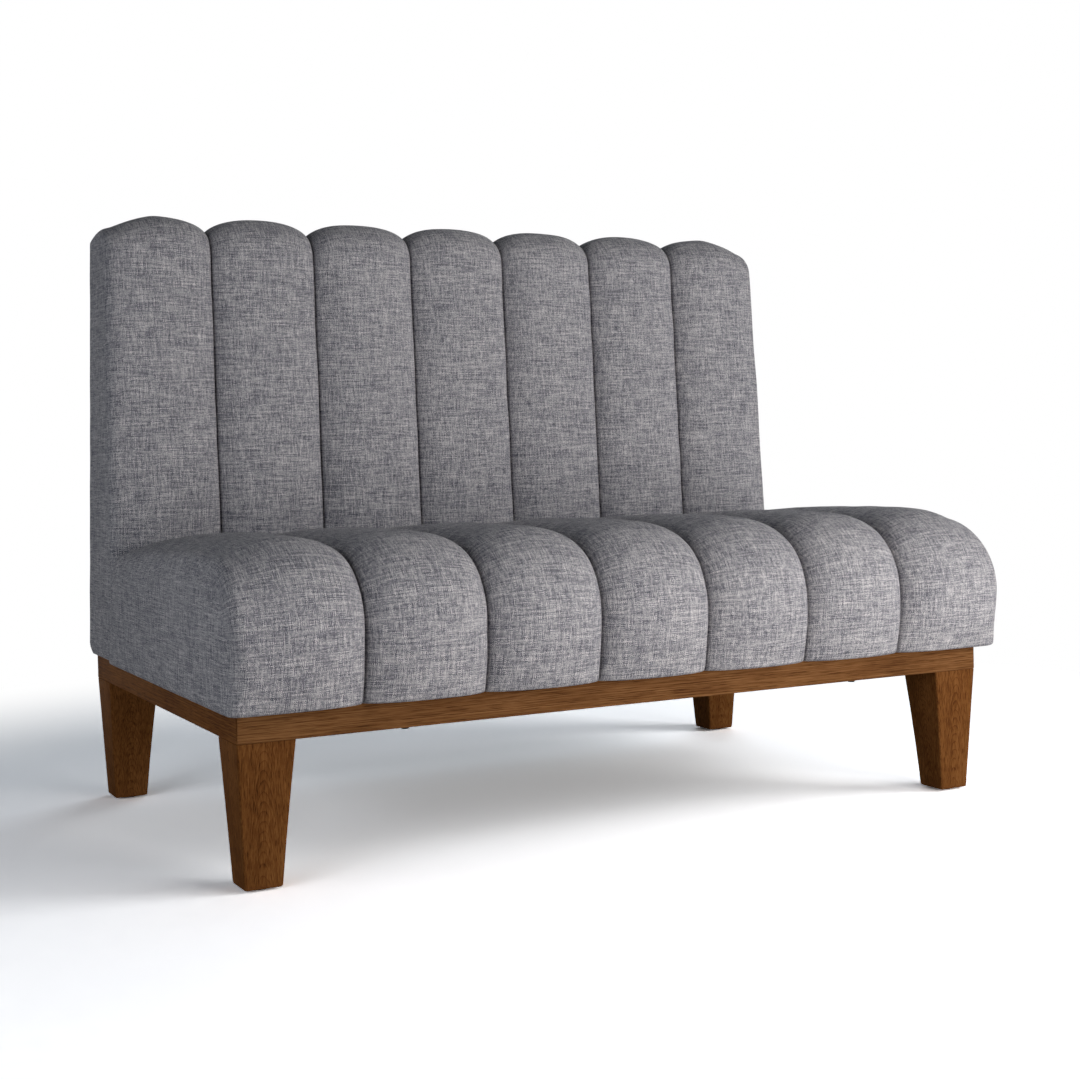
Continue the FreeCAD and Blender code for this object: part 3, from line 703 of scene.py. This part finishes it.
def outside_back_cover(material):
    """Fabric pulled over the board that closes the rear."""
    half, low, high = BOX_HALF + COVER_OVERLAP, COVER_LOW, COVER_HIGH
    outer = np.zeros((COVER_COLUMNS + 1, COVER_ROWS + 1, 3))
    outer[..., 0] = (np.array(spread(COVER_COLUMNS)) * half)[:, None]
    outer[..., 2] = ((low + high) / 2 + np.array(spread(COVER_ROWS)) * (high - low) / 2)[None]
    x, z = outer[..., 0], outer[..., 2]
    inset = np.minimum(half - abs(x), np.minimum(z - low, high - z))
    edge = COVER_EDGE_DEPTH * quarter(inset / COVER_EDGE_REACH)
    belly = COVER_BELLY * (1 - quarter(inset / COVER_BELLY_REACH))
    outer[..., 1] = rear_plane(z) - edge + belly - COVER_BELLY
    inner = outer.copy()
    inner[..., 1] = rear_plane(z) - COVER_LINING
    surface = Surface(outer, inner)
    obj = make_piece("outside_back_cover", surface, False, material, COVER_SEED)
    points = read_points(obj)
    n = len(surface.outer)
    calm = 1 - quarter(inset.reshape(-1) / COVER_RIPPLE_REACH)
    points[:n, 1] += ripple(points[:n], COVER_SEED, COVER_RIPPLE) * calm - COVER_SINK
    write_points(obj, points)
    subdivide(obj, rendered=2)
    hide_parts("outside_back_panel")
    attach(obj, "root")


# Wooden legs and base rails

LEG_FOOT_SIDE = 50
LEG_ROUNDING = 2.6
LEG_WIDENING = 6
LEG_LEVELS = (60.0, 120.0)
# Height from the leg's foot or down from its top, and how much narrower the leg is there
FOOT_EASE = ((0.0, 2.6), (0.5, 1.3), (1.6, 0.5), (3.0, 0.0))
TOP_EASE = ((1.1, 0.0), (0.5, 0.35), (0.05, 1.1))
# Rails, in metres: width of the ease, reach of the weld and length from which an edge is eased
RAIL_EASE, RAIL_WELD, RAIL_SHORTEST = 0.0016, 1e-5, 0.034
# Angles: below the first, faces become one; above the second, an edge is sharp
RAIL_FLAT, SHARP = 0.01, 0.7


def rounded_square(side, radius, steps=5):
    """Corner-rounded square, counter-clockwise."""
    h = side / 2 - radius
    loop = []
    for k, (sx, sy) in enumerate(((1, 1), (-1, 1), (-1, -1), (1, -1))):
        for n in range(steps + 1):
            a = math.pi / 2 * (k + n / steps)
            loop.append((sx * h + radius * math.cos(a), sy * h + radius * math.sin(a)))
    return loop


def leg_ring(z, narrower, inward):
    """Outline of a leg at height z, wider towards the bench's middle at its top."""
    taper = (LEG_SIDE - LEG_FOOT_SIDE) * (z - LEG_LOW) / (LEG_HIGH - LEG_LOW)
    side = LEG_FOOT_SIDE + taper - narrower
    share = (z / LEG_HIGH) ** 1.5

    def widened(place, direction):
        return place + direction * LEG_WIDENING * share * (0.5 + direction * place / side)

    ring = []
    for corner in rounded_square(side, LEG_ROUNDING):
        x, y = (widened(place, direction) for place, direction in zip(corner, inward))
        ring.append((x * MM, y * MM, z * MM))
    return ring


def wooden_leg(corner, material):
    """Tapered leg with eased edges, its grain upright."""
    inward = (-1 if "right" in corner else 1, 1 if "front" in corner else -1)
    x = -inward[0] * (BASE_HALF - LEG_SIDE / 2)
    y = BASE_FRONT + LEG_SIDE / 2 if "front" in corner else BASE_REAR - LEG_SIDE / 2
    levels = [(LEG_LOW + rise, narrower) for rise, narrower in FOOT_EASE]
    levels += [(z, 0.0) for z in LEG_LEVELS]
    levels += [(LEG_HIGH - fall, narrower) for fall, narrower in TOP_EASE]
    rings = [leg_ring(z, narrower, inward) for z, narrower in levels]
    count = len(rings[0])
    points = [p for ring in rings for p in ring]
    faces = [tuple(range(count))[::-1], tuple(range((len(rings) - 1) * count, len(rings) * count))]
    for r in range(len(rings) - 1):
        for k in range(count):
            n = (k + 1) % count
            faces.append((r * count + k, r * count + n, (r + 1) * count + n, (r + 1) * count + k))
    mesh = bpy.data.meshes.new("leg_wood_" + corner)
    mesh.from_pydata(points, [], faces)
    mesh.polygons.foreach_set("use_smooth", [len(f) == 4 for f in faces])
    mesh.materials.append(material)
    obj = add_object("leg_wood_" + corner, mesh)
    obj.location = (x * MM, y * MM, 0)
    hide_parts("leg_" + corner)
    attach(obj, "root")


def is_sharp(edge):
    """Whether the two faces at an edge meet at a clear angle."""
    return len(edge.link_faces) == 2 and edge.calc_face_angle() > SHARP


def eased_rail(node, material):
    """Base rail with its long edges eased, on the form of the construction's rail."""
    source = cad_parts[node]
    mesh = source.data.copy()
    mesh.name = node + "_eased"
    mesh.transform(source.matrix_world)
    bm = bmesh.new()
    bm.from_mesh(mesh)
    bmesh.ops.remove_doubles(bm, verts=bm.verts, dist=RAIL_WELD)
    bmesh.ops.dissolve_limit(bm, angle_limit=RAIL_FLAT, verts=bm.verts, edges=bm.edges)
    bmesh.ops.bevel(
        bm,
        geom=[e for e in bm.edges if is_sharp(e) and e.calc_length() > RAIL_SHORTEST],
        offset=RAIL_EASE,
        offset_type="OFFSET",
        segments=3,
        profile=0.5,
        affect="EDGES",
    )
    for f in bm.faces:
        f.smooth = True
    for e in bm.edges:
        e.smooth = not is_sharp(e)
    bm.to_mesh(mesh)
    bm.free()
    mesh.materials.clear()
    mesh.materials.append(material)
    obj = add_object(node + "_eased", mesh)
    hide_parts(node)
    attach(obj, "root")


# Materials

WHITE = (1, 1, 1, 1)


class Graph:
    """Shorthand for building the nodes of a material or a world."""

    def __init__(self, owner, output="ShaderNodeOutputMaterial"):
        self.owner = owner
        owner.use_nodes = True
        self.tree = owner.node_tree
        self.tree.nodes.clear()
        self.output = self.tree.nodes.new(output)

    def node(self, kind, inputs=None, **props):
        """New node, with each input either linked or set."""
        n = self.tree.nodes.new(kind)
        for key, value in props.items():
            setattr(n, key, value)
        for key, value in (inputs or {}).items():
            if isinstance(value, bpy.types.NodeSocket):
                self.tree.links.new(value, n.inputs[key])
            else:
                n.inputs[key].default_value = value
        return n

    def math(self, operation, a, b=0.0):
        return self.node("ShaderNodeMath", {0: a, 1: b}, operation=operation).outputs[0]

    def add(self, a, b):
        return self.math("ADD", a, b)

    def times(self, a, b):
        return self.math("MULTIPLY", a, b)

    def lean(self, tone, signal, centre, gain):
        """Tone plus gain times the signal's distance from its centre."""
        return self.add(tone, self.times(self.math("SUBTRACT", signal, centre), gain))

    def place(self):
        """Place on the object, in metres."""
        return self.node("ShaderNodeTexCoord").outputs["Object"]

    def split(self, vector):
        """X, Y and Z of a vector."""
        return self.node("ShaderNodeSeparateXYZ", {"Vector": vector}).outputs

    def join(self, x, y, z=0.0):
        """Vector of X, Y and Z."""
        return self.node("ShaderNodeCombineXYZ", {0: x, 1: y, 2: z}).outputs[0]

    def noise(self, vector, scale, detail=2.0, roughness=0.5):
        inputs = {"Vector": vector, "Scale": scale, "Detail": detail, "Roughness": roughness}
        return self.node("ShaderNodeTexNoise", inputs).outputs["Fac"]

    def stretched(self, vector, scale):
        """The vector with each of its axes scaled by its own number."""
        return self.node("ShaderNodeMapping", {"Vector": vector, "Scale": scale}).outputs["Vector"]

    def ramp(self, fac, stops):
        """Colour between stops of (position, colour)."""
        n = self.node("ShaderNodeValToRGB", {"Fac": fac})
        elements = n.color_ramp.elements
        while len(elements) < len(stops):
            elements.new(0.5)
        for e, (position, colour) in zip(elements, stops):
            e.position = position
            e.color = (*colour, 1)
        return n.outputs["Color"]

    def directly_seen(self):
        """1 where the camera, a reflection or a clear surface looks, 0 where light is gathered."""
        rays = self.node("ShaderNodeLightPath").outputs
        seen = self.math("MAXIMUM", rays["Is Camera Ray"], rays["Is Glossy Ray"])
        return self.math("MAXIMUM", seen, rays["Is Transmission Ray"])

    def surface(self, shader):
        """Makes a shader the result."""
        self.tree.links.new(shader.outputs[0], self.output.inputs["Surface"])

    def finish(self, colour, roughness, height, bump, distance, **fixed):
        """Material with a colour, a roughness and bumps of a height."""
        shader = self.node("ShaderNodeBsdfPrincipled", {"Base Color": colour, "Roughness": roughness})
        for key, value in fixed.items():
            shader.inputs[key.replace("_", " ")].default_value = value
        normal = self.node("ShaderNodeBump", {"Height": height, "Strength": bump, "Distance": distance})
        self.tree.links.new(normal.outputs["Normal"], shader.inputs["Normal"])
        self.surface(shader)
        return self.owner


# Width of a thread and lengths of the slubs, in metres, and how the noise steps from thread to thread
THREAD = 0.0014
WARP_SLUB, WEFT_SLUB = 0.027, 0.044
THREAD_STEP, WEFT_START, EVEN_START = 5.37, 17.0, 20000.0
MEAN_ROUND = 0.64
FABRIC_TONES = (
    (0.26, (0.086, 0.088, 0.109)),
    (0.40, (0.219, 0.218, 0.246)),
    (0.50, (0.346, 0.338, 0.362)),
    (0.60, (0.530, 0.512, 0.524)),
    (0.74, (0.775, 0.745, 0.740)),
)


def fabric():
    """Melange grey plain weave: light and dark threads, slubs both ways."""
    g = Graph(bpy.data.materials.new("grey_melange_weave"))
    u, v, _ = g.split(g.node("ShaderNodeUVMap", uv_map="thread").outputs["UV"])
    across = g.math("DIVIDE", u, THREAD)
    along = g.math("DIVIDE", v, THREAD)
    end = g.math("FLOOR", across)
    pick = g.math("FLOOR", along)
    warp_place = g.join(g.times(end, THREAD_STEP), g.math("DIVIDE", v, WARP_SLUB))
    weft_place = g.join(g.math("DIVIDE", u, WEFT_SLUB), g.times(pick, THREAD_STEP), WEFT_START)
    warp, weft = (g.noise(place, 1.0, 2.0, 0.65) for place in (warp_place, weft_place))
    round_warp, round_weft = (
        g.math("ABSOLUTE", g.math("SINE", g.times(threads, math.pi))) for threads in (across, along)
    )
    over = g.math("MODULO", g.add(g.add(end, pick), EVEN_START), 2.0)
    thread = g.node("ShaderNodeMix", {0: over, 2: warp, 3: weft}, data_type="FLOAT").outputs[0]
    weave = g.node("ShaderNodeMix", {0: over, 2: round_warp, 3: round_weft}, data_type="FLOAT").outputs[0]
    crossing = g.join(end, pick)
    fleck = g.node("ShaderNodeTexWhiteNoise", {"Vector": crossing}, noise_dimensions="3D").outputs["Value"]
    cloudy = g.noise(g.place(), 5.0)
    tone = g.lean(0.5, thread, 0.5, 1.2)
    tone = g.lean(tone, fleck, 0.5, 0.19)
    tone = g.lean(tone, weave, MEAN_ROUND, 0.16)
    tone = g.lean(tone, cloudy, 0.5, 0.04)
    rough = g.add(g.times(tone, 0.15), 0.8)
    height = g.add(g.times(weave, 0.7), tone)
    return g.finish(
        g.ramp(tone, FABRIC_TONES),
        rough,
        height,
        bump=0.55,
        distance=0.0009,
        Sheen_Weight=0.04,
        Sheen_Roughness=0.5,
        Specular_IOR_Level=0.1,
    )


def wood(name, lengthwise, tones, per_length, per_square, centre=(0, 0, 0)):
    """Satin hardwood: ring lines about a centre, long grain along one axis, short dark pores."""
    g = Graph(bpy.data.materials.new(name))
    place = g.place()

    def grain(across, along, detail, roughness):
        scale = tuple(along if axis == lengthwise else across for axis in (X, Y, Z))
        return g.noise(g.stretched(place, scale), 1.0, detail, roughness)

    axes = g.split(place)
    phase = g.times(axes[lengthwise], per_length)
    for axis in (X, Y, Z):
        if axis != lengthwise:
            offset = g.math("SUBTRACT", axes[axis], centre[axis])
            phase = g.add(phase, g.times(g.times(offset, offset), per_square))
    phase = g.add(phase, g.times(grain(34, 7, 3.0, 0.55), 2.4))
    ring = g.math("POWER", g.math("FRACT", phase), 7.0)
    bend = grain(26, 9, 3.0, 0.6)
    streak = grain(950, 9, 3.0, 0.65)
    pores = grain(1400, 34, 1.5, 0.5)
    limits = {"Value": pores, "From Min": 0.36, "From Max": 0.47}
    pore = g.node("ShaderNodeMapRange", limits).outputs["Result"]
    tone = g.add(g.times(streak, 0.50), g.times(bend, 0.26))
    tone = g.math("SUBTRACT", g.add(tone, 0.135), g.times(ring, 0.13))
    tone = g.times(tone, g.add(g.times(pore, 0.28), 0.72))
    colour = g.ramp(tone, tuple(zip((0.29, 0.45, 0.61), tones)))
    rough = g.add(g.times(streak, 0.2), 0.5)
    height = g.add(g.times(pore, 0.5), g.times(streak, 0.5))
    return g.finish(colour, rough, height, bump=0.35, distance=0.0004, Specular_IOR_Level=0.012)


def plain_material(name, dark, light, scale, stretch=(1, 1, 1), rough=0.7, bump=0.3, **fixed):
    """Two-tone noisy finish for a part that is mostly hidden."""
    g = Graph(bpy.data.materials.new(name))
    place = g.stretched(g.place(), stretch)
    coarse = g.noise(place, scale, 4.0, 0.6)
    fine = g.noise(place, scale * 6)
    tone = g.add(g.times(coarse, 0.6), g.times(fine, 0.4))
    colour = g.ramp(tone, ((0.35, dark), (0.65, light)))
    roughness = g.add(g.times(fine, 0.15), rough - 0.07)
    return g.finish(colour, roughness, tone, bump, 0.0005, **fixed)


def cambric(thread=0.0012):
    """Thin black non-fray cloth with a fine weave."""
    g = Graph(bpy.data.materials.new("black_cambric"))
    place = g.place()
    x, y, _ = g.split(place)
    wave_x, wave_y = (g.math("SINE", g.times(axis, 2 * math.pi / thread)) for axis in (x, y))
    fuzz = g.noise(place, 260)
    tone = g.add(fuzz, g.times(g.times(wave_x, wave_y), 0.15))
    colour = g.ramp(tone, ((0.3, (0.008, 0.008, 0.009)), (0.7, (0.03, 0.03, 0.032))))
    rough = g.add(g.times(fuzz, 0.1), 0.8)
    return g.finish(colour, rough, tone, bump=0.4, distance=0.0003, Specular_IOR_Level=0.15)


def dress_frame(fabric_material, woods):
    """Gives every carried-over node its finish."""
    pine = plain_material("pine", (0.42, 0.26, 0.13), (0.66, 0.48, 0.27), 60, (0.1, 1, 1), rough=0.6)
    plywood = plain_material(
        "plywood", (0.38, 0.25, 0.14), (0.58, 0.42, 0.25), 90, (0.2, 1, 1), rough=0.62
    )
    foam = plain_material("foam", (0.62, 0.55, 0.36), (0.78, 0.71, 0.5), 400, rough=0.95, bump=0.6)
    zinc = plain_material(
        "zinc_steel", (0.42, 0.42, 0.4), (0.62, 0.62, 0.6), 300, rough=0.35, bump=0.1, Metallic=1.0
    )
    nylon = plain_material("nylon", (0.012, 0.012, 0.013), (0.03, 0.03, 0.03), 500, rough=0.5, bump=0.1)
    black = plain_material(
        "blackened_steel",
        (0.010, 0.009, 0.009),
        (0.024, 0.022, 0.021),
        300,
        rough=0.6,
        bump=0.1,
        Specular_IOR_Level=0.1,
    )
    frame_pine = ("base_cross_rail", "corner_block", "seat_box", "back_sill")
    back_pine = ("back_bottom_rail", "back_middle_rail", "back_top_rail")
    finishes = (
        (("seat_channel", "back_channel", "seat_side_pad", "back_side_pad"), fabric_material),
        (("outside_back",), fabric_material),
        (("leg_",), woods["Z"]),
        # The side rails' walnut carries the legs' darker tones: painted shade on the side rails.
        (("base_rail_left", "base_rail_right"), woods["Y"]),
        (("base_rail",), woods["X"]),
        (frame_pine + back_pine, pine),
        (("back_rib", "seat_deck", "back_panel"), plywood),
        (("seat_foam_core",), foam),
        (("dust_cloth",), cambric()),
        (("foot_glides",), nylon),
        (("base_screws",), black),
        (("",), zinc),
    )
    for name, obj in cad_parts.items():
        material = next(finish for starts, finish in finishes if name.startswith(starts))
        obj.data.materials.clear()
        obj.data.materials.append(material)


# Studio, in metres

FLOOR_HALF = 9.0
FADE_NEAR, FADE_FAR = 0.9, 1.75
CAMERA_GAIN = 3.1
FLOOR_TONES = ((0.3, (0.65, 0.65, 0.655)), (0.7, (0.69, 0.69, 0.69)))
FAINT = 0.02
SKY = (0.84, 0.92, 1.0, 1)
MIDDLE = (0, 0, 0.45)

# Name, place, target, width and height, watts, colour
LAMPS = (
    ("key", (2.6, -1.4, 1.1), MIDDLE, (1.9, 1.5), 8.8, (1.0, 0.99, 0.98)),
    ("key_high", (3.0, -1.8, 2.0), MIDDLE, (1.9, 1.5), 43.0, (0.98, 0.985, 1.0)),
    ("near", (0.6, -1.7, 0.38), (0, -0.3, 0.35), (1.2, 0.6), 16.0, (1.0, 0.97, 0.95)),
    ("fill", (-2.6, -1.6, 1.0), MIDDLE, (1.4, 1.0), 12.0, (0.90, 0.94, 1.0)),
    ("left", (-2.8, -0.4, 0.9), MIDDLE, (1.6, 1.2), 7.6, (0.90, 0.94, 1.0)),
    ("rear", (1.6, 2.2, 2.4), (0, 0, 0.3), (2.0, 1.5), 9.5, (0.76, 0.88, 1.0)),
    ("behind", (1.8, 2.1, 0.85), (0, 0.3, 0.45), (1.6, 1.0), 9.0, (0.95, 0.98, 1.0)),
)

CAMERA_PLACE = (-1.23206, -2.34657, 0.55959)
CAMERA_YAW, CAMERA_PITCH, CAMERA_ROLL = 0.48730679, 0.00142792, -0.01777366
SENSOR_WIDTH, LENS, SHIFT_Y = 36, 56.805, -0.10
CLIP_NEAR, CLIP_FAR = 0.05, 60


def studio_floor():
    """Pale floor that keeps the bench's shadow and fades to white far away."""
    g = Graph(bpy.data.materials.new("studio_floor"))
    place = g.place()
    distance = g.node("ShaderNodeVectorMath", {0: place}, operation="LENGTH").outputs["Value"]
    fade = {"Value": distance, "From Min": FADE_NEAR, "From Max": FADE_FAR}
    far = g.node("ShaderNodeMapRange", fade, interpolation_type="SMOOTHSTEP").outputs["Result"]
    colour = g.ramp(g.noise(place, 40), FLOOR_TONES)
    camera_ray = g.node("ShaderNodeLightPath").outputs["Is Camera Ray"]
    gain = g.add(1.0, g.times(camera_ray, CAMERA_GAIN))
    colour = g.node("ShaderNodeVectorMath", {0: colour, "Scale": gain}, operation="SCALE").outputs["Vector"]
    diffuse = g.node("ShaderNodeBsdfDiffuse", {"Color": colour})
    seen = g.directly_seen()
    lift = g.node("ShaderNodeEmission", {"Color": WHITE, "Strength": g.times(seen, FAINT)})
    near = g.node("ShaderNodeAddShader", {0: diffuse.outputs[0], 1: lift.outputs[0]})
    white = g.node("ShaderNodeEmission", {"Color": WHITE, "Strength": 1.0})
    weight = g.times(far, seen)
    g.surface(g.node("ShaderNodeMixShader", {0: weight, 1: near.outputs[0], 2: white.outputs[0]}))

    mesh = bpy.data.meshes.new("floor")
    corners = [(x * FLOOR_HALF, y * FLOOR_HALF, 0) for x, y in ((-1, -1), (1, -1), (1, 1), (-1, 1))]
    mesh.from_pydata(corners, [], [(0, 1, 2, 3)])
    mesh.materials.append(g.owner)
    floor = add_object("floor", mesh)


def surround():
    """White all round where it is seen, and a faint cool light where it isn't."""
    world = bpy.data.worlds.new("studio")
    bpy.context.scene.world = world
    g = Graph(world, "ShaderNodeOutputWorld")
    soft = g.node("ShaderNodeBackground", {"Color": SKY, "Strength": FAINT})
    white = g.node("ShaderNodeBackground", {"Color": WHITE, "Strength": 1.0})
    seen = g.directly_seen()
    g.surface(g.node("ShaderNodeMixShader", {0: seen, 1: soft.outputs[0], 2: white.outputs[0]}))


def lamp(name, place, target, size, power, colour):
    """Rectangular lamp that the camera doesn't see."""
    data = bpy.data.lights.new(name, "AREA")
    data.shape = "RECTANGLE"
    data.size, data.size_y = size
    data.energy = power
    data.color = colour
    obj = add_object(name, data)
    obj.location = place
    obj.visible_camera = False
    obj.rotation_mode = "QUATERNION"
    obj.rotation_quaternion = (Vector(target) - Vector(place)).to_track_quat("-Z", "Y")


def studio():
    """Floor, surround and lamps."""
    studio_floor()
    surround()
    for settings in LAMPS:
        lamp(*settings)


def camera():
    """The photograph's viewpoint."""
    level = math.cos(CAMERA_PITCH)
    forward = (math.sin(CAMERA_YAW) * level, math.cos(CAMERA_YAW) * level, math.sin(CAMERA_PITCH))
    forward = Vector(forward)
    right = Vector((math.cos(CAMERA_YAW), -math.sin(CAMERA_YAW), 0))
    up = right.cross(forward)
    across = right * math.cos(CAMERA_ROLL) + up * math.sin(CAMERA_ROLL)
    upward = -right * math.sin(CAMERA_ROLL) + up * math.cos(CAMERA_ROLL)
    data = bpy.data.cameras.new("camera")
    data.sensor_width = SENSOR_WIDTH
    data.lens = LENS
    data.shift_y = SHIFT_Y
    data.clip_start, data.clip_end = CLIP_NEAR, CLIP_FAR
    obj = add_object("camera", data)
    turn = Matrix((across, upward, -forward)).transposed()
    obj.matrix_world = Matrix.Translation(CAMERA_PLACE) @ turn.to_4x4()
    bpy.context.scene.camera = obj


# Walnut tones: the front and rear rails', and the legs' darker, redder ones, which the side rails take too
# as painted shade.
RAIL_TONES = ((0.048, 0.0175, 0.0058), (0.165, 0.069, 0.0235), (0.28, 0.132, 0.050))
LEG_AND_SHADED_SIDE_TONES = ((0.040, 0.0130, 0.0036), (0.140, 0.050, 0.0125), (0.245, 0.102, 0.030))


def main():
    """Builds the dressed bench in its studio."""
    bpy.context.scene.view_settings.view_transform = "Standard"
    cloth = fabric()
    woods = {
        "X": wood("walnut_lengthwise", X, RAIL_TONES, 1.2, 2200.0, (0, -0.42, 0.13)),
        # The side rails get the legs' darker tones: painted shade, not a different wood.
        "Y": wood("walnut_sideways_shaded", Y, LEG_AND_SHADED_SIDE_TONES, 1.4, 2400.0, (0.52, 0, 0.15)),
        "Z": wood("walnut_upright", Z, LEG_AND_SHADED_SIDE_TONES, 26.0, 15000.0),
    }
    dress_frame(cloth, woods)
    upholster(cloth)
    outside_back_cover(cloth)
    for corner in ("front_left", "front_right", "rear_left", "rear_right"):
        wooden_leg(corner, woods["Z"])
    for side in ("front", "rear", "left", "right"):
        eased_rail("base_rail_" + side, woods["Y" if side in ("left", "right") else "X"])
    studio()
    camera()


main()
